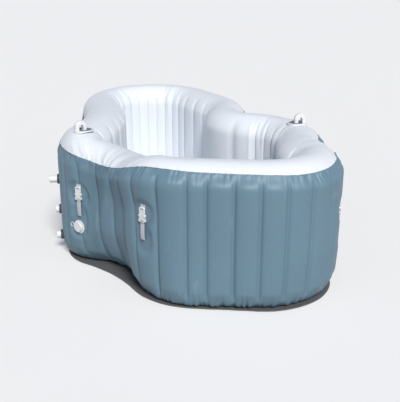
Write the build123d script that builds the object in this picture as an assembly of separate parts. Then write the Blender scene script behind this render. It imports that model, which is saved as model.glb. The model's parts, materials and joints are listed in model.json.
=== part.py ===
from build123d import *
import math
import os

# Inflatable hot tub, millimetres, +Z up, origin under the middle of the whole part.
# The wall is one air chamber that follows a closed outline of round lobes. Distances
# written d are measured from that outline inwards.

# --- driving dimensions -------------------------------------------------------------
shift_x, shift_y = 9.7, 45.0     # puts the middle of the whole part over the origin
wall_height = 680.0              # top of the rim above the ground
rim_radius = 113.0               # round top of the wall, so the wall is twice this thick
outer_corner = 55.0              # rounding where the outer wall turns under
inner_corner = 40.0              # rounding where the inner wall meets the floor
seam_angle = 42.0                # where the coloured wall is welded to the white rim
skin = 3.0                       # coated fabric, drawn at three times its real gauge
sheet = 3.0                      # ground sheet
floor_skin = 4.0
sheet_inset = 14.0               # the ground sheet's edge, in from the widest part of the wall
panel_count = 48
gap = 0.3                        # between pieces that move apart
length_turn = 30.0               # most that one welded length of the wall turns, in degrees

# lobes: centre x, centre y, radius, in order anticlockwise seen from above
lobes = {
    "near_left": (570.0, -130.0, 385.0),
    "near_right": (738.0, 106.0, 365.0),
    "side_right": (365.0, 171.0, 448.0),
    "far_right": (-376.0, 154.0, 433.0),
    "far_left": (-671.0, 126.0, 438.0),
    "side_left": (66.0, -375.0, 295.0),
}
# radius of the hollow between each lobe and the next; 0 is a straight stretch
hollows = [0.0, 260.0, 125.0, 0.0, 1240.0, 430.0]
sheet_hollows = [0.0, 420.0, 300.0, 0.0, 1600.0, 800.0]   # the ground sheet is cut smoother

os.makedirs("parts", exist_ok=True)
up = Vector(0, 0, 1)
rim_centre = wall_height - rim_radius
thick = 2 * rim_radius


def save(node, shape):
    shape.label = node
    export_step(shape, f"parts/{node}.step")


def polar(centre, radius, angle):
    a = math.radians(angle)
    return Vector(centre[0] + radius * math.cos(a), centre[1] + radius * math.sin(a), 0)


def unit(angle):
    return polar((0, 0), 1, angle)


def angle_of(centre, point):
    return math.degrees(math.atan2(point.Y - centre[1], point.X - centre[0]))


# --- the outline ----------------------------------------------------------------------
# A stretch is ("arc", centre, radius, first angle, sweep, +1 lobe or -1 hollow)
# or ("line", first point, last point).
def outline_stretches(hollow_radii):
    circles = [(x + shift_x, y + shift_y, r) for x, y, r in lobes.values()]
    joins = []
    for i, (x1, y1, r1) in enumerate(circles):
        x2, y2, r2 = circles[(i + 1) % len(circles)]
        apart = math.hypot(x2 - x1, y2 - y1)
        heading = math.degrees(math.atan2(y2 - y1, x2 - x1))
        if hollow_radii[i] == 0:
            normal = heading - math.degrees(math.acos((r1 - r2) / apart))
            a = polar((x1, y1), r1, normal)
            b = polar((x2, y2), r2, normal)
            joins.append((a, b, ("line", a, b)))
            continue
        p = hollow_radii[i]
        cos_turn = ((r1 + p) ** 2 + apart ** 2 - (r2 + p) ** 2) / (2 * (r1 + p) * apart)
        q = polar((x1, y1), r1 + p, heading - math.degrees(math.acos(cos_turn)))
        centre = (q.X, q.Y)
        a = polar(centre, p, angle_of(centre, Vector(x1, y1, 0)))
        b = polar(centre, p, angle_of(centre, Vector(x2, y2, 0)))
        sweep = (angle_of(centre, a) - angle_of(centre, b)) % 360
        joins.append((a, b, ("arc", centre, p, angle_of(centre, b), sweep, -1)))
    result = []
    for i, (x, y, r) in enumerate(circles):
        first = angle_of((x, y), joins[i - 1][1])
        sweep = (angle_of((x, y), joins[i][0]) - first) % 360
        result.append(("arc", (x, y), r, first, sweep, 1))
        result.append(joins[i][2])
    return result


stretches = outline_stretches(hollows)


def length_of(stretch):
    if stretch[0] == "line":
        return (stretch[2] - stretch[1]).length
    return stretch[2] * math.radians(stretch[4])


def point_along(distance):
    """The outline's point and inward direction, a distance along it."""
    for s in stretches:
        if distance <= length_of(s):
            break
        distance -= length_of(s)
    if s[0] == "line":
        along = (s[2] - s[1]).normalized()
        return s[1] + along * distance, up.cross(along)
    kind, centre, radius, first, sweep, side = s
    turned = math.degrees(distance / radius)
    angle = first + turned if side > 0 else first + sweep - turned
    return polar(centre, radius, angle), unit(angle) * -side


def cross_plane(point, inward):
    """Upright plane across the wall: local x is d, local y is height."""
    return Plane(origin=point, x_dir=inward, z_dir=inward.cross(up))


def lengths(face):
    """Carries a cross-section, drawn with x as d and y as height, round the outline in
    separate lengths that meet face to face, as the fabric is welded edge to edge."""
    solids = []
    for s in stretches:
        if s[0] == "line":
            along = (s[2] - s[1]).normalized()
            start = cross_plane(s[1], up.cross(along)) * face
            solids.append(extrude(start, amount=(s[2] - s[1]).length, dir=along))
            continue
        kind, centre, radius, first, sweep, side = s
        axis = Axis((centre[0], centre[1], 0), (0, 0, 1))
        count = math.ceil(sweep / length_turn)
        for k in range(count):
            angle = first + sweep * k / count
            start = cross_plane(polar(centre, radius, angle), unit(angle) * -side) * face
            solids.append(revolve(start, axis=axis, revolution_arc=sweep / count))
    return solids


def ring(face):
    """The same in one piece."""
    solids = lengths(face)
    return solids[0].fuse(*solids[1:])


def welded(solids, holes):
    """Lengths of fabric as one part, each with the holes that fall in it."""
    cut = []
    for solid in solids:
        cut += solid.cut(*holes).solids()
    return Compound(children=cut)


def plate(d, low, high, outline=stretches):
    """A flat sheet inside an outline moved inwards by d."""
    edges = []
    for s in outline:
        if s[0] == "line":
            inward = up.cross((s[2] - s[1]).normalized())
            edges.append(Line(s[1] + inward * d, s[2] + inward * d))
            continue
        kind, centre, radius, first, sweep, side = s
        edges.append(CenterArc((centre[0], centre[1], 0), radius - side * d, first, sweep))
    face = make_face(Wire(edges))
    return Pos(0, 0, low) * extrude(face, amount=high - low, dir=(0, 0, 1))


def arc_mid(a, b, centre, radius):
    """The point of a short arc half way between a and b."""
    middle = Vector((a[0] + b[0]) / 2 - centre[0], (a[1] + b[1]) / 2 - centre[1], 0).normalized()
    return (centre[0] + middle.X * radius, centre[1] + middle.Y * radius)


def bent(a, b, centre, radius):
    return ThreePointArc(a, arc_mid(a, b, centre, radius), b)


# --- soft shell ---------------------------------------------------------------------
def rim_point(angle, radius):
    a = math.radians(angle)
    return (rim_radius - radius * math.cos(a), rim_centre + radius * math.sin(a))


def skin_face(start_angle, wall_d, inward, corner):
    """Half of the wall's skin: from the seam, down one side and under to the middle."""
    hub = (rim_radius, rim_centre)
    full, small = rim_radius, rim_radius - skin
    d_in = wall_d + inward * skin
    bend = (wall_d + inward * corner, sheet + corner)
    s0, s1 = rim_point(start_angle, full), rim_point(start_angle, small)
    top0, top1 = (wall_d, rim_centre), (d_in, rim_centre)
    if inward < 0:
        crown0, crown1 = rim_point(110, full), rim_point(110, small)
        outer_top = [bent(s0, crown0, hub, full), bent(crown0, top0, hub, full)]
        inner_top = [bent(top1, crown1, hub, small), bent(crown1, s1, hub, small)]
    else:
        outer_top = [bent(s0, top0, hub, full)]
        inner_top = [bent(top1, s1, hub, small)]
    low0, low1 = (wall_d, bend[1]), (d_in, bend[1])
    foot0, foot1 = (bend[0], sheet), (bend[0], sheet + skin)
    end0, end1 = (rim_radius, sheet), (rim_radius, sheet + skin)
    edges = outer_top + [
        Line(top0, low0),
        bent(low0, foot0, bend, corner),
        Line(foot0, end0),
        Line(end0, end1),
        Line(end1, foot1),
        bent(foot1, low1, bend, corner - skin),
        Line(low1, top1),
    ] + inner_top + [Line(s1, s0)]
    return make_face(Wire(edges))


outer_wall = lengths(skin_face(seam_angle, 0.0, 1, outer_corner))
rim_and_liner = lengths(skin_face(seam_angle, thick, -1, inner_corner))

floor_edge = thick - inner_corner + math.sqrt(inner_corner ** 2 - (inner_corner - floor_skin) ** 2)
floor_liner = plate(floor_edge + gap, sheet, sheet + floor_skin)
ground_sheet = plate(sheet_inset, 0.0, sheet, outline_stretches(sheet_hollows))

# Air channel: a half-round tunnel welded to the floor beside the wall, with jet holes.
channel_radius = 26.0
channel_skin = 2.5
channel_d = thick + channel_radius + 4
channel_floor = sheet + floor_skin
tunnel = (
    Pos(channel_d, channel_floor) * Circle(channel_radius)
    - Pos(channel_d, channel_floor) * Circle(channel_radius - channel_skin)
    - Pos(channel_d, channel_floor - channel_radius) * Rectangle(4 * channel_radius, 2 * channel_radius)
)
air_channel = ring(tunnel.face())
total_length = sum(length_of(s) for s in stretches)
pitch = total_length / panel_count
jets = []
for i in range(panel_count):
    point, inward = point_along((i + 0.5) * pitch)
    at = point + inward * channel_d
    jets.append(Pos(at.X, at.Y, channel_floor + channel_radius) * Cylinder(2.0, 12))
air_channel = air_channel.cut(*jets)

# Internal webs: one at each crease, from skin to skin, open above and below for the air.
web_low, web_high, web_gauge = 70.0, 560.0, 1.5


def inner_web(distance, holes):
    point, inward = point_along(distance)
    web = Pos(rim_radius, (web_low + web_high) / 2) * Rectangle(thick - 2 * skin - 2, web_high - web_low)
    return extrude(cross_plane(point, inward) * web, amount=web_gauge / 2, both=True).cut(*holes)


# --- places on the wall ---------------------------------------------------------------
def wall_place(lobe, angle, height, out=0.0):
    """On the wall: x to the right seen from outside, y up, z outwards."""
    x, y, r = lobes[lobe]
    centre = (x + shift_x, y + shift_y)
    at = polar(centre, r + out, angle) + up * height
    return Plane(origin=at, x_dir=unit(angle + 90), z_dir=unit(angle)).location


def rim_place(lobe, angle):
    """On top of the rim: x towards the outside, y along the rim, z up."""
    x, y, r = lobes[lobe]
    centre = (x + shift_x, y + shift_y)
    at = polar(centre, r - rim_radius, angle) + up * wall_height
    return Plane(origin=at, x_dir=unit(angle), z_dir=(0, 0, 1)).location


def drum(radius, low, high, bore=0.0):
    """A round piece along local z, with an optional bore."""
    body = Pos(0, 0, (low + high) / 2) * Cylinder(radius, high - low)
    if bore:
        body = body - Pos(0, 0, (low + high) / 2) * Cylinder(bore, high - low + 2)
    return body


def o_ring(radius, section, height):
    return Pos(0, 0, height) * Torus(radius, section)


# --- pump connectors --------------------------------------------------------------------
pipe_radius, pipe_bore = 19.0, 15.5
collar_radius = 24.0
plate_radius = 45.0
plate_gauge = 4.0
nut_height = 14.0
connector_angles = {"air": 249.0, "water_in": 248.0, "water_out": 253.0}
connector_heights = {"air": 400.0, "water_in": 230.0, "water_out": 94.0}
connector_reach = {"air": 62.0, "water_in": 40.0, "water_out": 42.0}
screen_radius = 30.0
screen_seat = thick + 13.0       # the liner is curved here, so the screens stand off it
thread_start = 23.0              # the hose thread begins outside the lock nut
wall_cuts = []
liner_cuts = []
web_cuts = []

for name in ("air", "water_in", "water_out"):
    place = wall_place("side_left", connector_angles[name], connector_heights[name])
    reach = connector_reach[name]
    inner_end = -40.0 if name == "air" else -screen_seat
    pipe = drum(pipe_radius - 0.4, inner_end, thread_start, pipe_bore)
    pipe += drum(pipe_radius, thread_start, reach, pipe_bore)
    pipe += drum(collar_radius, -9, -skin - 1, pipe_bore)
    wall_plate = drum(plate_radius, 1.2, 1.2 + plate_gauge, pipe_radius)
    wall_plate += drum(collar_radius + 3, 1.2, 8, pipe_radius)
    nut = drum(collar_radius + 2, 8.4, 8.4 + nut_height, pipe_radius)
    for k in range(12):
        nut -= Rot(0, 0, 30 * k) * Pos(collar_radius + 3.5, 0, 8.4 + nut_height / 2) * Cylinder(2.6, nut_height + 2)
    seal = drum(collar_radius - 1, -0.8, 0.8, pipe_radius)
    save(f"{name}_connector", place * pipe)
    save(f"{name}_wall_plate", place * wall_plate)
    save(f"{name}_lock_nut", place * nut)
    save(f"{name}_seal", place * seal)
    wall_cuts.append(place * drum(collar_radius, -20, 20))
    web_cuts.append(place * drum(collar_radius + 1, inner_end, 0))
    if name == "air":
        continue
    liner_cuts.append(place * drum(pipe_radius + 2.5, -(thick + 20), -(thick - 20)))
    seat = -screen_seat
    inner_plate = drum(screen_radius - 3, seat + 1, seat + 4.5, pipe_radius + 0.3)
    cage = drum(screen_radius, seat - 12, seat + 3, screen_radius - 2.5)
    cage += drum(screen_radius, seat - 14.5, seat - 12)
    slots = []
    for k in range(-3, 4):
        half = math.sqrt((screen_radius - 6) ** 2 - (6.0 * k) ** 2)
        slots.append(Pos(6.0 * k, 0, seat - 13) * Box(3.0, 2 * half, 8))
    cage = cage.cut(*slots)
    save(f"{name}_inner_plate", place * inner_plate)
    save(f"{name}_screen", place * cage)

# Air feed hose inside the chamber, from the air connector down towards the channel.
place = wall_place("side_left", connector_angles["air"], connector_heights["air"])
hose_route = [(0, 0, -40), (0, 0, -80), (52, -70, -80), (52, -330, -80)]
hose_path = FilletPolyline(*hose_route, radius=22)
hose_start = Plane(origin=(0, 0, -40), z_dir=(0, 0, -1))
hose_outside = sweep(hose_start * Circle(17), path=hose_path)
hose = hose_outside - sweep(hose_start * Circle(14), path=hose_path)
save("air_feed_hose", place * hose)
web_cuts.append(place * sweep(hose_start * Circle(20), path=hose_path))

# --- inflation valve ------------------------------------------------------------------------
valve_place = wall_place("side_left", 297.5, 212.0)
valve_body = drum(35, 0.6, 3.6, 17) + drum(21, -22, 6, 17) + drum(21, -24, -22, 6)
for k in range(4):
    valve_body -= Rot(0, 0, 90 * k) * Pos(11.5, 0, -23) * Cylinder(3, 6)
valve_stem = drum(5.6, -26, -8) + drum(9, -10, -7) + drum(15, -27.3, -24.3)
spring_coil = sweep(
    Plane(origin=(8.2, 0, -20.8), z_dir=(0, 1, 0)) * Circle(0.7),
    path=Helix(pitch=1.7, height=5.1, radius=8.2, center=(0, 0, -20.8)),
)
valve_seal = o_ring(18.9, 1.6, 7.8)
valve_cap = drum(24.5, 9.8, 16, 0) + drum(16.6, -3, 10, 13.5)
for k in range(16):
    valve_cap -= Rot(0, 0, 22.5 * k) * Pos(25.6, 0, 13) * Cylinder(1.7, 10)
valve_cap -= Pos(0, 0, 16.5) * Box(30, 4, 3)
tether_loop = Pos(-48, 3, 3.2) * Torus(11, 1.7)
save("inflation_valve_body", valve_place * valve_body)
save("inflation_valve_stem", valve_place * valve_stem)
save("inflation_valve_spring", valve_place * spring_coil)
save("inflation_valve_seal", valve_place * valve_seal)
save("inflation_valve_cap", valve_place * valve_cap)
save("inflation_valve_tether", valve_place * tether_loop)
wall_cuts.append(valve_place * drum(22, -10, 10))
web_cuts.append(valve_place * drum(24, -34, 0))

# --- drain valve ------------------------------------------------------------------------------
drain_place = wall_place("far_left", 196.0, 64.0)
drain_body = drum(32, 0.8, 4.2, 13) + drum(18, -(thick + 6), 16, 13)
drain_seal = o_ring(15.5, 1.5, 17.6)
drain_cap = drum(23, 19.4, 25) + drum(23, 6, 19.4, 18.6)
for k in range(12):
    drain_cap -= Rot(0, 0, 30 * k) * Pos(24, 0, 15) * Cylinder(2, 24)
save("drain_valve_body", drain_place * drain_body)
save("drain_valve_seal", drain_place * drain_seal)
save("drain_valve_cap", drain_place * drain_cap)
wall_cuts.append(drain_place * drum(18.2, -20, 20))
web_cuts.append(drain_place * drum(19, -thick, 0))
liner_cuts.append(drain_place * drum(18.2, -(thick + 20), -(thick - 20)))

# --- rim brackets -------------------------------------------------------------------------------
bracket_radius = 50.0
arch_width, arch_leg, arch_depth = 60.0, 18.0, 26.0
arch_gap = 11.5                  # half the width of the opening under the arch
arch_offset = 15.0               # the arch stands towards the outside of its base
bracket_places = {"left": ("side_left", 277.0), "right": ("side_right", 79.0)}


def arch_face(half_width, leg):
    crown = Pos(0, leg) * (Circle(half_width) - Pos(0, -half_width) * Rectangle(4 * half_width, 2 * half_width))
    return crown + Pos(0, leg / 2) * Rectangle(2 * half_width, leg)


arch = extrude(Plane.XZ * arch_face(arch_width / 2, arch_leg), amount=arch_depth / 2, both=True)
arch = fillet(arch.edges().filter_by(GeomType.CIRCLE), 6)
arch -= extrude(Plane.XZ * arch_face(arch_gap, arch_leg), amount=arch_depth, both=True)
arch = Pos(arch_offset, 0, 3.2) * arch
for name, (lobe, angle) in bracket_places.items():
    x, y, r = lobes[lobe]
    place = rim_place(lobe, angle)
    tube = Pos(x + shift_x, y + shift_y, rim_centre) * Torus(r - rim_radius, rim_radius + gap)
    base = place * drum(bracket_radius, -16, 5) - tube
    base -= place * (Pos(-4, 0, 7) * Cylinder(bracket_radius - 11, 10))
    insert = place * (Pos(-4, 0, 2.6) * Cylinder(bracket_radius - 11.4, 1.2))
    loop = place * arch
    save(f"{name}_bracket_base", base - loop)
    save(f"{name}_bracket_insert", insert)
    save(f"{name}_bracket_loop", loop)

# --- cover buckles ---------------------------------------------------------------------------------
buckle_height = 398.0
web_width = 30.0
buckle_places = {
    "side_left": ("side_left", 300.0, buckle_height),
    "near_left": ("near_left", 292.5, buckle_height + 34),
    "near_right": ("near_right", 58.0, buckle_height),
    "side_right": ("side_right", 104.0, buckle_height),
    "far_right": ("far_left", 150.0, buckle_height),
    "far_left": ("far_left", 243.0, buckle_height),
}
patches = []
anchors = []
for name, (lobe, angle, height) in buckle_places.items():
    x, y, r = lobes[lobe]
    axis_place = Pos(x + shift_x, y + shift_y, height)
    place = wall_place(lobe, angle, height)
    shell = axis_place * (Cylinder(r + 2.8, 120) - Cylinder(r + gap, 122))
    patches.append(shell & (place * Cylinder(47, 60)))
    anchors.append(place * (Pos(0, 32, 4.2) * Box(web_width, 24, 1.6)))
    tongue = Pos(0, 15.5, 9.2) * Box(web_width + 2, 31, 8)
    tongue = fillet(tongue.edges().filter_by(Axis.Z), 5)
    tongue -= Pos(0, 23, 9.2) * Box(web_width - 8, 7, 20)
    tongue += Pos(0, -12, 9.2) * Box(6, 25, 3.6)
    for side in (-1, 1):
        tongue += Pos(side * 11.6, -9, 9.2) * Box(4, 19, 4.4)
        tongue += Pos(side * 13.2, -17.5, 9.2) * Box(5.4, 5, 4.4)
    body = Pos(0, -18.5, 9.4) * Box(38, 36, 12)
    body = fillet(body.edges().filter_by(Axis.Z), 6)
    body -= Pos(0, -13.2, 9.2) * Box(32.6, 26, 6.2)
    body -= Pos(0, -31, 9.2) * Box(web_width - 4, 5, 20)
    for side in (-1, 1):
        body -= Pos(side * 18, -17.5, 9.2) * Box(7, 13, 20)
    tail = Pos(0, -79.5, 8.4) * Box(web_width - 5, 86, 2.0)
    save(f"{name}_buckle_tongue", place * tongue)
    save(f"{name}_buckle_body", place * body)
    save(f"{name}_strap_tail", place * tail)
save("strap_patches", Compound(children=patches))
save("strap_anchors", Compound(children=anchors))

# --- shell parts, with the holes for the fittings -----------------------------------------------------
save("outer_wall", welded(outer_wall, wall_cuts))
save("rim_and_liner", welded(rim_and_liner, liner_cuts))
save("inner_webs", Compound(children=[inner_web(i * pitch, web_cuts) for i in range(panel_count)]))
save("floor_liner", floor_liner)
save("ground_sheet", ground_sheet)
save("air_channel", air_channel)
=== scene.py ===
import bpy
import json
import math
import numpy as np
from mathutils import Vector, Matrix


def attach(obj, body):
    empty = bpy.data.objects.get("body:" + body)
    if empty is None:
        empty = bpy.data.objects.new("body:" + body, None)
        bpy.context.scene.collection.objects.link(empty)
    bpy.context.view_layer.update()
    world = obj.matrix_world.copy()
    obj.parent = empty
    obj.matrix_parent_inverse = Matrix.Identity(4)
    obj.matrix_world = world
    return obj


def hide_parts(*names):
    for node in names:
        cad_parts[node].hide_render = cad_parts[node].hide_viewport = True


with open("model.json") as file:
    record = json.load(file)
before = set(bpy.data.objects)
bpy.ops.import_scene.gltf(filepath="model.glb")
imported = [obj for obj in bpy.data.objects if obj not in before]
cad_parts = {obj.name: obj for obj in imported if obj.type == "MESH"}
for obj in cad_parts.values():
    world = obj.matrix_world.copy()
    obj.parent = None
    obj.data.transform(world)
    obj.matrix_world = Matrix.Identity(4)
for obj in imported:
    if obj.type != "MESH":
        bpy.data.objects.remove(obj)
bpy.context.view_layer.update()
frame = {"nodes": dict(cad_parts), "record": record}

# --- sizes, in metres -----------------------------------------------------------------
SHIFT = (0.0097, 0.045)                      # puts the middle of the object's box at the origin
HEIGHT = 0.680                               # of the rim's crown
RIM = 0.113                                  # radius of the rim's round top
THICK = 2 * RIM                              # of the wall
HUB = HEIGHT - RIM                           # height of the middle of the rim's round top
OUTER_CORNER = 0.055                         # radius of the wall's outer bottom edge
INNER_CORNER = 0.040                         # and of its inner one
SEAM = 42.0                                  # degrees up the shoulder to the colour's edge
SHEET = 0.003                                # the ground sheet under the wall
PANELS = 48
COLUMNS = 24                                 # mesh columns in each panel
# x, y and radius of each lobe, anticlockwise from the near left
LOBES = [
    (0.570, -0.130, 0.385),
    (0.738, 0.106, 0.365),
    (0.365, 0.171, 0.448),
    (-0.376, 0.154, 0.433),
    (-0.671, 0.126, 0.438),
    (0.066, -0.375, 0.295),
]
# radius of the hollow that follows each lobe, or 0 where the wall runs straight
HOLLOWS = [0.0, 0.260, 0.125, 0.0, 1.240, 0.430]
# the ground sheet's hollows are wider than the wall's, so its dark edge shows past the wall's foot, most at
# the hollows: partly the sheet, partly painted shadow of the tub
SHEET_AND_SHADOW_HOLLOWS = [0.0, 0.420, 0.300, 0.0, 1.600, 0.800]


# --- the outline ------------------------------------------------------------------------
def build_outline(hollows):
    """Stretches of the wall's outline, anticlockwise: (length, kind, values)."""
    circles = [(x + SHIFT[0], y + SHIFT[1], r) for x, y, r in LOBES]
    joins = []
    for i, (x1, y1, r1) in enumerate(circles):
        x2, y2, r2 = circles[(i + 1) % len(circles)]
        apart = math.hypot(x2 - x1, y2 - y1)
        heading = math.atan2(y2 - y1, x2 - x1)
        p = hollows[i]
        if p == 0:
            a = heading - math.acos((r1 - r2) / apart)
            start = (x1 + r1 * math.cos(a), y1 + r1 * math.sin(a))
            end = (x2 + r2 * math.cos(a), y2 + r2 * math.sin(a))
            joins.append((a, a, ("line", start, end)))
            continue
        turn = math.acos(((r1 + p) ** 2 + apart ** 2 - (r2 + p) ** 2) / (2 * (r1 + p) * apart))
        q = (x1 + (r1 + p) * math.cos(heading - turn), y1 + (r1 + p) * math.sin(heading - turn))
        leave = math.atan2(q[1] - y1, q[0] - x1)
        arrive = math.atan2(q[1] - y2, q[0] - x2)
        sweep = (leave - arrive) % (2 * math.pi)
        joins.append((leave, arrive, ("arc", q, p, leave + math.pi, -sweep)))
    result = []
    for i, (x, y, r) in enumerate(circles):
        first = joins[i - 1][1]
        sweep = (joins[i][0] - first) % (2 * math.pi)
        result.append((r * sweep, ("arc", (x, y), r, first, sweep)))
        join = joins[i][2]
        if join[0] == "line":
            result.append((math.dist(join[1], join[2]), join))
        else:
            result.append((join[2] * abs(join[4]), join))
    return result


def along(outline, s):
    """Points, outward directions and curvature at distances s along the outline."""
    s = np.asarray(s, float)
    point = np.zeros((len(s), 2))
    out = np.zeros((len(s), 2))
    curve = np.zeros(len(s))
    start = 0.0
    for length, stretch in outline:
        here = (s >= start - 1e-9) & (s <= start + length + 1e-9)
        t = ((s[here] - start) / length)[:, None]
        if stretch[0] == "line":
            a, b = np.array(stretch[1]), np.array(stretch[2])
            d = (b - a) / length
            point[here] = a + (b - a) * t
            out[here] = (d[1], -d[0])
        else:
            centre, radius, first, sweep = stretch[1:]
            angle = first + sweep * t[:, 0]
            ray = np.c_[np.cos(angle), np.sin(angle)]
            point[here] = np.array(centre) + radius * ray
            side = 1.0 if sweep > 0 else -1.0
            out[here] = ray * side
            curve[here] = side / radius
        start += length
    return point, out, curve


OUTLINE = build_outline(HOLLOWS)
TOTAL = sum(length for length, stretch in OUTLINE)
PITCH = TOTAL / PANELS


def outline_distance(x, y):
    """How far along the outline its nearest point to (x, y) is."""
    s = np.linspace(0, TOTAL, 4000, endpoint=False)
    point = along(OUTLINE, s)[0]
    return float(s[np.argmin(np.hypot(point[:, 0] - x, point[:, 1] - y))])


# --- shapes that repeat round the wall ------------------------------------------------------
def smooth(x):
    """0 below 0 and 1 above 1, with an eased step between."""
    x = np.clip(x, 0.0, 1.0)
    return x * x * (3 - 2 * x)


def ripple(s, spacing, seed):
    """Smooth random values from -1 to 1 that close round the outline."""
    count = max(4, int(round(TOTAL / spacing)))
    knots = np.random.default_rng(seed).uniform(-1, 1, count)
    x = (np.asarray(s) / TOTAL % 1.0) * count
    i = np.floor(x).astype(int)
    t = smooth(x - i)
    return knots[i % count] * (1 - t) + knots[(i + 1) % count] * t


def puckers(s, spacing, seed):
    """Round folds with sharp valleys between them, from -1 to 1."""
    folds = 2 * np.abs(ripple(s, spacing, seed)) ** 0.6 - 1
    return 0.8 * folds + 0.2 * ripple(s, spacing / 2, seed + 100)


def away(s, centre):
    """Signed distance from centre to s, the short way round."""
    return (s - centre + TOTAL / 2) % TOTAL - TOTAL / 2


def window(s, centre, half):
    """1 at centre, falling smoothly to 0 at a distance of half."""
    return smooth(1 - np.abs(away(s, centre)) / half)


def at_angle(lobe, degrees):
    """Distance along the outline to this angle of a lobe, 0 being +X."""
    x, y, r = LOBES[lobe]
    a = math.radians(degrees)
    return outline_distance(x + SHIFT[0] + r * math.cos(a), y + SHIFT[1] + r * math.sin(a))


def middle_of(stretch):
    """Distance along the outline to the middle of one stretch."""
    return sum(length for length, s in OUTLINE[:stretch]) + OUTLINE[stretch][0] / 2


COLUMN_S = np.arange(PANELS * COLUMNS) * (TOTAL / (PANELS * COLUMNS))
POINT, OUT, CURVE = along(OUTLINE, COLUMN_S)
WAIST = middle_of(11)                        # between the side lobe and the near left lobe
SIDE_HOLLOW = middle_of(3)
SHARP_HOLLOW = middle_of(5)
BACK_HOLLOW = middle_of(9)
NEAR_CORNER = at_angle(0, 265)
NEAR_RIGHT = at_angle(1, 10)


def soft_curve():
    """The outline's curvature, blended over about 10 cm so that nothing changes in a step."""
    reach = int(0.10 / (TOTAL / len(COLUMN_S)))
    weights = np.hanning(2 * reach + 1)
    padded = np.concatenate([CURVE[-reach:], CURVE, CURVE[:reach]])
    return np.convolve(padded, weights / weights.sum(), mode="valid")


BEND = soft_curve()

# The creases stand a pitch apart, a little uneven, and the wall's ends meet at a narrower panel.
CREASES = np.arange(PANELS) * PITCH + 0.004 * np.random.default_rng(2).uniform(-1, 1, PANELS)
CREASES[0] = 0.0
CREASES[2] += 0.012
CREASES[3] += 0.036


def panel_shape(s, creases):
    """0 at each crease, 1 in the middle of each panel, and the distance to the nearest crease."""
    edges = np.append(creases, TOTAL)
    i = np.clip(np.searchsorted(edges, s % TOTAL, side="right") - 1, 0, len(creases) - 1)
    low, high = edges[i], edges[i + 1]
    u = (s % TOTAL - low) / (high - low)
    near = np.minimum(u, 1 - u) * (high - low)
    fullness = 1 + 0.22 * np.random.default_rng(21).uniform(-1, 1, PANELS)[i]
    round_top = np.sqrt(np.clip(1 - (2 * u - 1) ** 2, 0, 1))
    return (0.3 * (1 - (2 * u - 1) ** 2) + 0.7 * round_top) * fullness, near


BULGE = 0.0140                               # how far a panel stands out between its creases
GROOVE = 0.0060                              # how far a crease is pulled in
SWELL, NEAR = panel_shape(COLUMN_S, CREASES)

# lobe and angle of each cover buckle
BUCKLES = {
    "side_left": (5, 300.0),
    "near_left": (0, 292.5),
    "near_right": (1, 58.0),
    "side_right": (2, 104.0),
    "far_right": (4, 150.0),
    "far_left": (4, 243.0),
}
BUCKLE_HEIGHTS = dict.fromkeys(BUCKLES, 0.398)
BUCKLE_HEIGHTS["near_left"] = 0.432
# lobe, angle, height and radius of each fitting: the fabric lies flat behind it
OUTER_FITTINGS = [
    (5, 249.0, 0.400, 0.045),
    (5, 248.0, 0.230, 0.045),
    (5, 253.0, 0.094, 0.045),
    (5, 297.5, 0.212, 0.038),
    (4, 196.0, 0.064, 0.033),
]
# under each buckle is its patch, then the hanging tail, then the room that the tail slides into
for name, (lobe, angle) in BUCKLES.items():
    for below, radius in ((0, 0.049), (0.085, 0.024), (0.115, 0.028), (0.145, 0.030)):
        OUTER_FITTINGS.append((lobe, angle, BUCKLE_HEIGHTS[name] - below, radius))
INNER_FITTINGS = [(5, 248.0, 0.230, 0.034), (5, 253.0, 0.094, 0.034), (4, 196.0, 0.064, 0.024)]
BRACKETS = [(5, 277.0), (2, 79.0)]
BRACKET_BASE = 0.050                         # radius of the fabric that lies flat under a bracket
FLAT_EDGE = 0.035                            # over which the flat fabric joins the rest


def calm(fittings, z, squeeze=1.0):
    """0 behind each fitting and 1 away from it, for a grid of heights z."""
    result = np.ones_like(z)
    for lobe, angle, height, radius in fittings:
        ds = away(COLUMN_S, at_angle(lobe, angle)) * squeeze
        distance = np.hypot(ds, z - height)
        result *= smooth((distance - radius) / FLAT_EDGE)
    return result


# --- the wall's cross-section ------------------------------------------------------------------
# Each row has a depth in from the outline, a height, and the way that the fabric faces:
# 0 is outwards, 90 degrees is up and 180 is into the basin.
def stack(*bands):
    """One cross-section from bands of rows, each joined to the one before."""
    return [np.concatenate(values) for values in zip(*bands)]


def band(depth, height, facing):
    """Rows of depth, height and facing for every column, from values or columns of values."""
    shape = np.broadcast_shapes(np.shape(depth), np.shape(height), np.shape(facing))
    shape = (shape[0], len(COLUMN_S))
    return [np.array(np.broadcast_to(v, shape), float) for v in (depth, height, facing)]


def rows_of(low, high, count, last=False):
    """Evenly spaced values down a column, without the last unless it is asked for."""
    values = np.linspace(low, high, count)
    return (values if last else values[:-1])[:, None]


def seam_height():
    """How far up the shoulder the coloured wall reaches, in radians, round the outline."""
    degrees = SEAM + 7 * window(COLUMN_S, at_angle(0, 290), 0.45)
    degrees = degrees - 5 * window(COLUMN_S, at_angle(1, 20), 0.5)
    degrees = degrees - 44 * window(COLUMN_S, BACK_HOLLOW - 0.30, 0.50)
    degrees = degrees - 24 * window(COLUMN_S, WAIST - 0.24, 0.75)
    degrees = degrees - 30 * window(COLUMN_S, SHARP_HOLLOW, 0.40)
    return np.radians(degrees + 1.0 * ripple(COLUMN_S, 0.15, 11))


SEAM_ANGLE = seam_height()


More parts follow.
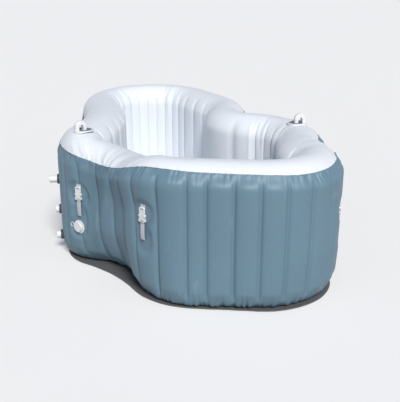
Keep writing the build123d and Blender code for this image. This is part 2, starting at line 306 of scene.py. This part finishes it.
def outer_section():
    """The coloured wall, from under its outer edge to just past the seam."""
    under = band(rows_of(RIM, OUTER_CORNER, 3), SHEET, -math.pi / 2)
    t = np.radians(rows_of(-90, 0, 13))
    corner = band(OUTER_CORNER * (1 - np.cos(t)), SHEET + OUTER_CORNER + OUTER_CORNER * np.sin(t), t)
    side = band(0.0, rows_of(SHEET + OUTER_CORNER, HUB, 62), 0.0)
    t = rows_of(0, 1, 17, last=True) * (SEAM_ANGLE + 0.012)[None, :]
    shoulder = band(RIM * (1 - np.cos(t)), HUB + RIM * np.sin(t), t)
    return stack(under, corner, side, shoulder)


def rim_section():
    """The white skin, from the seam over the crown and down to under the basin's edge."""
    t = SEAM_ANGLE[None, :] + rows_of(0, 1, 64) * (math.pi - SEAM_ANGLE)[None, :]
    crown = band(RIM * (1 - np.cos(t)), HUB + RIM * np.sin(t), t)
    side = band(THICK, rows_of(HUB, SHEET + INNER_CORNER, 52), math.pi)
    t = np.radians(rows_of(0, 90, 11))
    turn = band(THICK - INNER_CORNER * (1 - np.cos(t)), SHEET + INNER_CORNER * (1 - np.sin(t)), math.pi + t)
    under = band(rows_of(THICK - INNER_CORNER, RIM, 3, last=True), SHEET, 1.5 * math.pi)
    return stack(crown, side, turn, under)


# the soft wall dips at the waist, leans out at the near corner, and tucks in at its foot
WAIST_DIP = 0.050
NEAR_LEAN = 0.028
WAIST_TUCK = 0.062
NEAR_TUCK = 0.036
RIGHT_TUCK = 0.024
LEAN_FROM = 0.62                             # share of the height at which the lean starts


def placed(depth, height, facing, move):
    """Carries a cross-section round the outline, moved out along the way it faces."""
    sideways = np.cos(facing) * move - depth
    up = height + np.sin(facing) * move
    z = up / HEIGHT
    dip = WAIST_DIP * window(COLUMN_S, WAIST + 0.02, 0.36)
    lean = NEAR_LEAN * window(COLUMN_S, NEAR_CORNER, 0.55)[None, :] * smooth((z - LEAN_FROM) / 0.3)
    near = window(COLUMN_S, NEAR_CORNER, 0.50)
    right = window(COLUMN_S, NEAR_RIGHT, 0.65)
    tuck = WAIST_TUCK * window(COLUMN_S, WAIST - 0.06, 0.42) + NEAR_TUCK * near + RIGHT_TUCK * right
    reach = 0.24 + 0.20 * np.maximum(near, right)
    lean = lean - tuck[None, :] * np.clip(1 - z / reach[None, :], 0, 1) ** 1.5
    xy = POINT[None] + OUT[None] * (sideways + lean)[:, :, None]
    return np.concatenate([xy, (up * (1 - dip / HEIGHT))[:, :, None]], axis=2)


def add_piece(name, verts, faces):
    """A smooth mesh object, linked to the scene."""
    mesh = bpy.data.meshes.new(name)
    mesh.from_pydata(verts, [], faces)
    mesh.shade_smooth()
    piece = bpy.data.objects.new(name, mesh)
    bpy.context.collection.objects.link(piece)
    return piece


def grid_mesh(name, rows, caps=(False, False), fold_shade=None):
    """A smooth mesh from points (rows, columns, 3) whose columns close round the outline.
    The last argument is painted shade for the material: how far each point lies in a crease, from 0 to 1."""
    n_rows, n_cols = rows.shape[:2]
    index = np.arange(n_rows * n_cols).reshape(n_rows, n_cols)
    right = np.roll(index, -1, axis=1)
    quads = np.stack([index[:-1], right[:-1], right[1:], index[1:]], axis=-1).reshape(-1, 4).tolist()
    if caps[0]:
        quads.append(index[0][::-1].tolist())
    if caps[1]:
        quads.append(index[-1].tolist())
    piece = add_piece(name, rows.reshape(-1, 3).tolist(), quads)
    if fold_shade is not None:
        values = piece.data.attributes.new("fold_shade", "FLOAT", "POINT").data
        values.foreach_set("value", np.clip(fold_shade, 0, 1).ravel().astype(np.float32))
    return piece


# --- outer wall --------------------------------------------------------------------------------
def make_outer_wall():
    """The coloured skin: crowned panels between creases, with puckers along both edges."""
    depth, z, facing = outer_section()
    s = COLUMN_S[None, :]
    below_seam = np.where(z > HUB, RIM * (SEAM_ANGLE - facing), RIM * SEAM_ANGLE + HUB - z)
    flat = calm(OUTER_FITTINGS, z)
    tall = smooth((z - 0.035) / 0.060) * smooth((below_seam - 0.016) / 0.050)
    move = tall * (BULGE * SWELL - GROOVE * np.exp(-(NEAR / 0.008) ** 2))[None, :]
    # short puckers hang from the weld, and others stand on the bottom edge
    gathers = puckers(COLUMN_S, 0.021, 3)
    pull = 0.75 + 0.35 * ripple(COLUMN_S, 0.10, 5) + 0.5 * np.clip(np.abs(BEND) * 0.3, 0, 1)
    length = 0.020 + 0.016 * (0.5 + 0.5 * ripple(COLUMN_S, 0.04, 13))
    from_weld = np.exp(-np.clip(below_seam, 0, None) / length[None, :]) * smooth(below_seam / 0.010)
    move += from_weld * (0.0090 * gathers * pull)[None, :]
    length = 0.026 + 0.026 * (0.5 + 0.5 * ripple(COLUMN_S, 0.03, 12))
    gathers = puckers(COLUMN_S, 0.024, 6)
    pull = 0.8 + 0.35 * ripple(COLUMN_S, 0.15, 8)
    from_foot = np.exp(-np.clip(z - 0.02, 0, None) / length[None, :]) * smooth(z / 0.02)
    move += from_foot * (0.0095 * gathers * pull)[None, :]
    # slack in the fabric, and the compressed folds inside the waist
    move += 0.0016 * ripple(s + 0.10 * z, 0.26, 9) * tall
    squashed = ripple(s - 0.25 * (z - 0.35), 0.045, 10) * np.clip(-BEND * 0.25, 0, 1)[None, :]
    move += 0.0035 * squashed * tall
    # painted shade: the material darkens the colour along the waist's squashed folds
    piece = grid_mesh("outer_wall_skin", placed(depth, z, facing, move * flat), fold_shade=squashed * flat)
    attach(piece, "tub")
    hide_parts("outer_wall")
    dress(piece, "wall_fabric")


WEB_FOOT = 0.075
WEB_TALL = 0.470
WEB_WELD = 0.008                             # of each edge, taken up by its weld
WEB_GAUGE = 0.001


def make_inner_webs():
    """Welded inside the wall from skin to skin, one behind each crease, open above and below."""
    high, wide = 14, 9
    z = np.repeat(np.linspace(WEB_FOOT, WEB_FOOT + WEB_TALL, high), wide)[:, None]
    across = np.tile(np.linspace(WEB_WELD, THICK - WEB_WELD, wide), high)[:, None]
    slack = 0.003 * np.sin(across / THICK * math.pi) * np.sin(z * 23.0)
    depth, z, facing = band(across, z, 0.0)
    grid = placed(depth, z, facing, np.zeros_like(z))
    step = TOTAL / len(COLUMN_S)
    verts, faces = [], []
    for i, crease in enumerate(CREASES):
        k = int(round(crease / step)) % len(COLUMN_S)
        base = len(verts)
        sideways = np.array((-OUT[k, 1], OUT[k, 0], 0)) * (-1) ** i
        verts += (grid[:, k] + slack * sideways).tolist()
        for row in range(high - 1):
            for col in range(wide - 1):
                a = base + row * wide + col
                faces.append((a, a + 1, a + wide + 1, a + wide))
    piece = add_piece("inner_web_sheets", verts, faces)
    gauge = piece.modifiers.new("gauge", "SOLIDIFY")
    gauge.thickness = WEB_GAUGE
    gauge.offset = 0
    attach(piece, "tub")
    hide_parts("inner_webs")
    dress(piece, "wall_fabric")


# --- rim and inner wall ---------------------------------------------------------------------------
# place, half width and height of the fan of wrinkles over each hollow
FANS = [
    (WAIST, 0.38, 0.0075),
    (SHARP_HOLLOW, 0.28, 0.0095),
    (SIDE_HOLLOW, 0.26, 0.0080),
    (BACK_HOLLOW, 0.55, 0.0055),
]


def make_rim():
    """The white skin. run is the distance over it from the level of the rim's outer side."""
    depth, z, facing = rim_section()
    s = COLUMN_S[None, :]
    run = np.where(facing < math.pi, facing * RIM, math.pi * RIM + HUB - z)
    from_seam = run - run[0][None, :]
    squeeze = 1 - BEND * THICK
    ends = smooth((z - 0.03) / 0.06)
    hanging = smooth((run - 0.66 * math.pi * RIM) / 0.11) * ends
    depth_of_bulge = BULGE * np.clip(squeeze, 0.45, 1.2)
    move = hanging * (depth_of_bulge * SWELL - 0.8 * GROOVE * np.exp(-(NEAR / 0.006) ** 2))[None, :]
    # the inner fabric of a lobe is gathered into pleats that run over the rim's inner edge
    lobe = np.clip(BEND * 0.30, 0, 1)
    pleat = 0.6 * ripple(s + 0.10 * (run - 0.3), 0.040, 31) + 0.4 * ripple(s, 0.021, 32)
    inner_edge = np.exp(-((run - 0.86 * math.pi * RIM) / 0.10) ** 2)
    move += 0.0055 * pleat * lobe[None, :] * inner_edge
    gather = window(COLUMN_S, SHARP_HOLLOW - 0.24, 0.30) + 0.6 * window(COLUMN_S, SIDE_HOLLOW + 0.22, 0.2)
    curved = s + 0.55 * (run - 0.25) ** 2
    down = smooth((run - 0.22) / 0.10) * ends * np.exp(-np.clip(run - 0.36, 0, None) / 0.22)
    move += 0.0022 * ripple(curved, 0.036, 33) * gather[None, :] * down
    # fans of wrinkles over the outer edge of each hollow
    for centre, half, size in FANS:
        ds = away(COLUMN_S, centre)[None, :]
        spread = centre + ds / (1 + 1.1 * np.clip(from_seam / 0.16, 0, 1.5))
        folds = 0.65 * ripple(spread, 0.030, 34) + 0.35 * ripple(spread, 0.014, 35)
        reach = smooth(1 - from_seam / 0.22) * smooth(from_seam / 0.01)
        move += size * folds * reach * window(COLUMN_S, centre, half)[None, :]
    # puckers along the weld, slack over the crown, and the weld's own raised lip
    gathers = 0.65 * ripple(COLUMN_S, 0.017, 3) + 0.35 * ripple(COLUMN_S, 0.009, 14)
    move += np.exp(-from_seam / 0.016) * (0.0030 * gathers)[None, :]
    move += 0.0015 * ripple(s + 0.12 * run, 0.20, 19) * ends
    move += 0.0010 * np.exp(-(from_seam / 0.004) ** 2)
    flat = calm(INNER_FITTINGS, z + 10.0 * (facing < math.pi), squeeze)
    for lobe_index, angle in BRACKETS:
        ds = away(COLUMN_S, at_angle(lobe_index, angle))[None, :] * (1 - BEND * RIM)[None, :]
        flat *= smooth((np.hypot(ds, run - 0.5 * math.pi * RIM) - BRACKET_BASE) / FLAT_EDGE)
    # painted shade: the colour darkens along the creases and in the valleys of the gathered pleats
    fold_shade = hanging * np.exp(-(NEAR / 0.005) ** 2)[None, :]
    fold_shade += 0.3 * down * (gather * np.clip(-ripple(COLUMN_S, 0.036, 33), 0, 1))[None, :]
    piece = grid_mesh("rim_skin", placed(depth, z, facing, move * flat), fold_shade=fold_shade * flat)
    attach(piece, "tub")
    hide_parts("rim_and_liner")
    dress(piece, "rim_fabric")


# --- floor, air channel and ground sheet -------------------------------------------------------------
FLOOR_SKIN = 0.004                           # the space that the floor's fabric has
FLOOR_GAUGE = 0.0012                         # and its own thickness
FLOOR_EDGE = THICK - INNER_CORNER + math.sqrt(INNER_CORNER ** 2 - (INNER_CORNER - FLOOR_SKIN) ** 2)
CHANNEL = 0.026                              # radius of the air channel
CHANNEL_DEPTH = THICK + CHANNEL + 0.004
FLOOR_TOP = SHEET + FLOOR_SKIN


def inside(outline, s, depths, heights):
    """Rows of points at these depths in from an outline, and these heights."""
    point, out = along(outline, s)[:2]
    rows = [np.c_[point - out * d, np.broadcast_to(z, len(s))] for d, z in zip(depths, heights)]
    return np.stack(rows)


def make_floor():
    """The basin's floor, stretched from wall to wall."""
    depths = [0.270, 0.225, FLOOR_EDGE + 0.0006, FLOOR_EDGE + 0.0006, 0.225, 0.270]
    top, low = FLOOR_TOP, FLOOR_TOP - FLOOR_GAUGE
    rows = inside(OUTLINE, COLUMN_S[::2], depths, [top, top, top, low, low, low])
    piece = grid_mesh("floor_skin", rows[::-1], caps=(True, True))
    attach(piece, "tub")
    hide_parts("floor_liner")
    dress(piece, "rim_fabric")


def make_air_channel():
    """A half-round tube of fabric along the foot of the wall, pinched at even spaces."""
    s = COLUMN_S
    rows = []
    near = np.abs((s / PITCH * 2) % 1.0 - 0.5) * PITCH / 2
    pinch = 1 - 0.07 * np.exp(-((PITCH / 4 - near) / 0.008) ** 2) + 0.02 * ripple(s, 0.05, 41)
    for a in np.radians(np.linspace(0, 180, 19)):
        point = POINT - OUT * (CHANNEL_DEPTH - CHANNEL * pinch * math.cos(a))[:, None]
        rows.append(np.c_[point, FLOOR_TOP + CHANNEL * pinch * math.sin(a)])
    piece = grid_mesh("air_channel_skin", np.stack(rows))
    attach(piece, "tub")
    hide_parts("air_channel")
    dress(piece, "rim_fabric")


def make_jets():
    """A small welded ring round each jet hole on top of the air channel."""
    around, across = 16, 8
    bead = 0.0012
    point, out = along(OUTLINE, (np.arange(PANELS) + 0.5) * PITCH)[:2]
    centres = point - out * CHANNEL_DEPTH
    a = np.arange(around) * 2 * math.pi / around
    b = np.arange(across) * 2 * math.pi / across
    radius = 0.0042 + bead * np.cos(b)[:, None]
    ring = np.stack([radius * np.cos(a), radius * np.sin(a), bead * np.sin(b)[:, None] + 0 * a], axis=2)
    verts, faces = [], []
    for x, y in centres:
        base = len(verts)
        verts += [(x + p[0], y + p[1], FLOOR_TOP + CHANNEL + p[2]) for p in ring.reshape(-1, 3)]
        for i in range(across):
            for k in range(around):
                j, m = (i + 1) % across, (k + 1) % around
                corners = (i * around + k, i * around + m, j * around + m, j * around + k)
                faces.append([base + c for c in corners])
    piece = add_piece("jet_rings", verts, faces)
    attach(piece, "tub")
    dress(piece, "white_plastic")


SHEET_INSET = 0.014                          # of the ground sheet's edge from the outline


def make_ground_sheet_and_shadow():
    """The dark sheet under the tub, with an edge that lifts a little in waves. Where it shows past the
    wall's foot it is partly painted shadow of the tub.
    """
    outline = build_outline(SHEET_AND_SHADOW_HOLLOWS)
    total = sum(length for length, stretch in outline)
    s = np.linspace(0, total, 900, endpoint=False)
    wave = 0.5 + 0.35 * ripple(s, 0.085, 51) + 0.15 * ripple(s, 0.03, 52)
    lift = [0.0, 0.0, 0.0, 0.0009, 0.0028, 0.0042]
    gauge = [0.0028, 0.0028, 0.0028, 0.0022, 0.0016, 0.0013]
    depths = [0.200, 0.120, 0.060, 0.034, 0.023, SHEET_INSET]
    low = [k * wave for k in lift]
    top = [z + g for z, g in zip(low, gauge)]
    rows = inside(outline, s, depths + depths[::-1], top + low[::-1])
    piece = grid_mesh("ground_sheet_and_shadow_skin", rows[::-1], caps=(True, True))
    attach(piece, "tub")
    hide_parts("ground_sheet")
    dress(piece, "base_fabric")


# --- webbing of the cover straps ------------------------------------------------------------------------
def on_wall(lobe, angle, height):
    """Matrix of a place on the wall: x to the right seen from outside, y up, z outwards."""
    x, y, r = LOBES[lobe]
    a = math.radians(angle)
    right = Vector((-math.sin(a), math.cos(a), 0))
    out = Vector((math.cos(a), math.sin(a), 0))
    at = Vector((x + SHIFT[0] + r * out.x, y + SHIFT[1] + r * out.y, height))
    matrix = Matrix((right, Vector((0, 0, 1)), out)).transposed().to_4x4()
    matrix.translation = at
    return matrix


def webbing(name, place, start, end, width, gauge, bow, twist, flare=0.0):
    """A strip from y = start to y = end, in metres. bow(t) is its height off the wall."""
    verts, faces = [], []
    steps, across = 40, 8
    for i in range(steps + 1):
        t = i / steps
        y = start + (end - start) * t
        turn = math.radians(twist) * t * t
        for side in (1, -1):
            for k in range(across + 1):
                x = (k / across - 0.5) * width * (1 + flare * t) * side
                edge = 1 - 0.5 * abs(2 * k / across - 1) ** 6
                z = side * gauge / 2 * edge
                verts.append(place @ Vector((x * math.cos(turn), y, bow(t) + z + x * math.sin(turn))))
    loop = 2 * (across + 1)
    for i in range(steps):
        for k in range(loop):
            m = (k + 1) % loop
            faces.append((i * loop + k, i * loop + m, (i + 1) * loop + m, (i + 1) * loop + k))
    faces.append(tuple(reversed(range(loop))))
    faces.append(tuple(steps * loop + k for k in range(loop)))
    piece = add_piece(name, [tuple(v) for v in verts], faces)
    dress(piece, "webbing")
    return piece


# heights from the buckle's middle, widths and gauges
TAIL = {"start": -0.0368, "end": -0.122, "width": 0.025, "gauge": 0.0017}
ANCHOR = {"start": 0.044, "end": 0.020, "width": 0.030, "gauge": 0.0015}


def make_straps():
    """A loose tail under each buckle and a sewn anchor over it, no two tails hanging alike."""
    for k, (name, (lobe, angle)) in enumerate(BUCKLES.items()):
        place = on_wall(lobe, angle, BUCKLE_HEIGHTS[name])
        sway = 0.0016 * math.sin(2.1 * k)
        tail = webbing(f"{name}_tail", place, **TAIL, twist=7.0 - 3.0 * k, flare=0.10,
                       bow=lambda t: 0.0084 + sway * t + 0.0022 * math.sin(3.0 * t))
        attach(tail, f"{name}_buckle")
        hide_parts(f"{name}_strap_tail")
        anchor = webbing(f"{name}_anchor", place, **ANCHOR, twist=0.0,
                         bow=lambda t: 0.0039 + 0.0012 * smooth(1.6 * t - 0.2))
        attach(anchor, "tub")
    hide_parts("strap_anchors")


# --- materials ---------------------------------------------------------------------------------------
def shader(name, colour, rough, grain_scale=900.0, grain=0.15, patches=0.05, spec=0.5):
    """A plastic with fine grain in its bump and slow changes of shade in its colour."""
    material = bpy.data.materials.new(name)
    material.use_nodes = True
    tree = material.node_tree
    bsdf = tree.nodes["Principled BSDF"]
    coords = tree.nodes.new("ShaderNodeTexCoord")
    slow = tree.nodes.new("ShaderNodeTexNoise")
    slow.inputs["Scale"].default_value = 3.0
    slow.inputs["Detail"].default_value = 4.0
    tree.links.new(coords.outputs["Object"], slow.inputs["Vector"])
    tint = tree.nodes.new("ShaderNodeMix")
    tint.data_type = "RGBA"
    tint.inputs["A"].default_value = (*[c * (1 - patches) for c in colour], 1)
    tint.inputs["B"].default_value = (*[min(1, c * (1 + patches)) for c in colour], 1)
    tree.links.new(slow.outputs["Fac"], tint.inputs["Factor"])
    tree.links.new(tint.outputs["Result"], bsdf.inputs["Base Color"])
    fine = tree.nodes.new("ShaderNodeTexVoronoi")
    fine.inputs["Scale"].default_value = grain_scale
    tree.links.new(coords.outputs["Object"], fine.inputs["Vector"])
    bump = tree.nodes.new("ShaderNodeBump")
    bump.inputs["Strength"].default_value = grain
    bump.inputs["Distance"].default_value = 0.0004
    tree.links.new(fine.outputs["Distance"], bump.inputs["Height"])
    tree.links.new(bump.outputs["Normal"], bsdf.inputs["Normal"])
    shade = tree.nodes.new("ShaderNodeMapRange")
    shade.inputs["To Min"].default_value = rough - 0.06
    shade.inputs["To Max"].default_value = rough + 0.06
    tree.links.new(slow.outputs["Fac"], shade.inputs["Value"])
    tree.links.new(shade.outputs["Result"], bsdf.inputs["Roughness"])
    bsdf.inputs["Specular IOR Level"].default_value = spec
    return material


def paint_fold_shade(material, share):
    """Painted shade: the colour is deeper wherever the mesh's attribute of shade in its folds is above 0.
    """
    tree = material.node_tree
    base = tree.nodes["Principled BSDF"].inputs["Base Color"]
    fold_shade = tree.nodes.new("ShaderNodeAttribute")
    fold_shade.attribute_name = "fold_shade"
    mix = tree.nodes.new("ShaderNodeMix")
    mix.data_type = "RGBA"
    mix.blend_type = "MULTIPLY"
    mix.inputs["B"].default_value = (share, share * 1.02, share * 1.04, 1)
    tree.links.new(fold_shade.outputs["Fac"], mix.inputs["Factor"])
    tree.links.new(base.links[0].from_socket, mix.inputs["A"])
    tree.links.new(mix.outputs["Result"], base)


def add_scuffs(material, colour, amount):
    """Sparse pale rub marks, longer up and down than across."""
    tree = material.node_tree
    base = tree.nodes["Principled BSDF"].inputs["Base Color"]
    coords = tree.nodes.new("ShaderNodeTexCoord")
    stretch = tree.nodes.new("ShaderNodeMapping")
    stretch.inputs["Scale"].default_value = (14, 14, 4)
    noise = tree.nodes.new("ShaderNodeTexNoise")
    noise.inputs["Scale"].default_value = 2.2
    noise.inputs["Detail"].default_value = 7.0
    noise.inputs["Roughness"].default_value = 0.62
    ramp = tree.nodes.new("ShaderNodeMapRange")
    ramp.inputs["From Min"].default_value = 0.60
    ramp.inputs["From Max"].default_value = 0.74
    ramp.inputs["To Max"].default_value = amount
    mix = tree.nodes.new("ShaderNodeMix")
    mix.data_type = "RGBA"
    mix.inputs["B"].default_value = (*colour, 1)
    tree.links.new(coords.outputs["Object"], stretch.inputs["Vector"])
    tree.links.new(stretch.outputs["Vector"], noise.inputs["Vector"])
    tree.links.new(noise.outputs["Fac"], ramp.inputs["Value"])
    tree.links.new(ramp.outputs["Result"], mix.inputs["Factor"])
    tree.links.new(base.links[0].from_socket, mix.inputs["A"])
    tree.links.new(mix.outputs["Result"], base)


# colour, roughness, and where they matter the grain's scale and depth and the patches
MATERIALS = {
    "wall_fabric": shader("wall_fabric", (0.143, 0.243, 0.316), 0.50, patches=0.10),
    "rim_fabric": shader("rim_fabric", (0.80, 0.84, 0.885), 0.42, patches=0.015),
    # the ground sheet's dark grey: partly its own colour, partly painted shadow at the tub's foot
    "base_fabric": shader("base_fabric", (0.115, 0.115, 0.12), 0.6),
    "white_plastic": shader("white_plastic", (0.82, 0.83, 0.84), 0.35, 400.0, 0.05, 0.02),
    "blue_plastic": shader("blue_plastic", (0.11, 0.15, 0.22), 0.40, 400.0, 0.05, 0.03),
    "dark_plastic": shader("dark_plastic", (0.05, 0.055, 0.07), 0.45, 400.0, 0.05, 0.03),
    "webbing": shader("webbing", (0.55, 0.59, 0.61), 0.7, 700.0, 0.4, 0.04),
    "seal_rubber": shader("seal_rubber", (0.02, 0.02, 0.02), 0.6, 500.0, 0.1, 0.05),
    "spring_steel": shader("spring_steel", (0.5, 0.5, 0.52), 0.3, 500.0, 0.05, 0.05),
}
# painted shade in the creases and folds of both skins: the colour is multiplied down to these shares there
paint_fold_shade(MATERIALS["wall_fabric"], 0.62)
paint_fold_shade(MATERIALS["rim_fabric"], 0.84)
add_scuffs(MATERIALS["wall_fabric"], (0.42, 0.50, 0.54), 0.16)


def dress(piece, slot):
    """Gives a new piece the material of one of the record's slots."""
    piece.data.materials.clear()
    piece.data.materials.append(MATERIALS[slot])


def dress_cad_nodes():
    """Gives every CAD node the material of its own slot."""
    for part in frame["record"]["subparts"]:
        cad = frame["nodes"][part["node"]]
        if not cad.data.materials:
            cad.data.materials.append(None)
        for k in range(len(cad.material_slots)):
            cad.material_slots[k].material = MATERIALS[part["material_slot"]]


# --- pieces ---------------------------------------------------------------------------------------------
dress_cad_nodes()
make_outer_wall()
make_inner_webs()
make_rim()
make_floor()
make_air_channel()
make_jets()
make_ground_sheet_and_shadow()
make_straps()


# --- stage ------------------------------------------------------------------------------------------------
STAGE = 60.0                                 # half the width of the floor
STAGE_DROP = 0.0005                          # keeps the floor clear of the ground sheet


def make_stage():
    """A wide pale floor."""
    corners = [(-STAGE, -STAGE, 0), (STAGE, -STAGE, 0), (STAGE, STAGE, 0), (-STAGE, STAGE, 0)]
    mesh = bpy.data.meshes.new("floor")
    mesh.from_pydata(corners, [], [(0, 1, 2, 3)])
    floor = bpy.data.objects.new("floor", mesh)
    bpy.context.collection.objects.link(floor)
    floor.location.z = -STAGE_DROP
    paint = shader("floor_paint", (0.79, 0.785, 0.775), 0.85, 60.0, 0.0, 0.005)
    bsdf = paint.node_tree.nodes["Principled BSDF"]
    bsdf.inputs["Emission Color"].default_value = (1, 1, 1, 1)
    bsdf.inputs["Emission Strength"].default_value = 0.16
    mesh.materials.append(paint)
    # the floor is only for the camera and for shadows: it throws no light back on the walls
    floor.visible_diffuse = False


def make_sky():
    """A soft bluish dome, with a pale band low down so that the floor runs on without an edge."""
    world = bpy.data.worlds.new("studio")
    bpy.context.scene.world = world
    world.use_nodes = True
    tree = world.node_tree
    coords = tree.nodes.new("ShaderNodeTexCoord")
    height = tree.nodes.new("ShaderNodeSeparateXYZ")
    climb = tree.nodes.new("ShaderNodeMapRange")
    climb.inputs["From Min"].default_value = -1.0
    sky = tree.nodes.new("ShaderNodeValToRGB")
    ramp = sky.color_ramp.elements
    ramp[0].position = 0.45
    ramp[0].color = (0.20, 0.21, 0.22, 1)
    ramp[1].position = 0.66
    ramp[1].color = (0.145, 0.170, 0.235, 1)
    for position in (0.48, 0.56):
        ramp.new(position).color = (0.78, 0.79, 0.80, 1)
    tree.links.new(coords.outputs["Generated"], height.inputs["Vector"])
    tree.links.new(height.outputs["Z"], climb.inputs["Value"])
    tree.links.new(climb.outputs["Result"], sky.inputs["Fac"])
    tree.links.new(sky.outputs["Color"], tree.nodes["Background"].inputs["Color"])


def soft_sun(name, source, strength, spread, colour):
    """Light from far off in the direction of source, with soft-edged shadows."""
    data = bpy.data.lights.new(name, "SUN")
    data.energy = strength
    data.angle = math.radians(spread)
    data.color = colour
    lamp = bpy.data.objects.new(name, data)
    lamp.location = source
    lamp.rotation_euler = (-Vector(source)).to_track_quat("-Z", "Y").to_euler()
    bpy.context.collection.objects.link(lamp)


CAMERA_PLACE = (3.4144, -1.4728, 1.5125)
CAMERA_HEADING = (-0.8988, 0.4384)
CAMERA_DIP = 19.6
CAMERA_LENS = 62.1                           # in millimetres, on a sensor 36 mm wide


def make_camera():
    data = bpy.data.cameras.new("camera")
    data.sensor_fit = "HORIZONTAL"
    data.sensor_width = 36.0
    data.lens = CAMERA_LENS
    data.clip_end = 100
    camera = bpy.data.objects.new("camera", data)
    camera.location = CAMERA_PLACE
    dip = math.radians(CAMERA_DIP)
    aim = Vector((CAMERA_HEADING[0] * math.cos(dip), CAMERA_HEADING[1] * math.cos(dip), -math.sin(dip)))
    camera.rotation_euler = aim.to_track_quat("-Z", "Y").to_euler()
    bpy.context.collection.objects.link(camera)
    bpy.context.scene.camera = camera


make_stage()
make_sky()
make_camera()
soft_sun("key", (4.0, -0.95, 4.0), 3.25, 18, (1.0, 0.98, 0.95))
bpy.context.scene.view_settings.view_transform = "Standard"
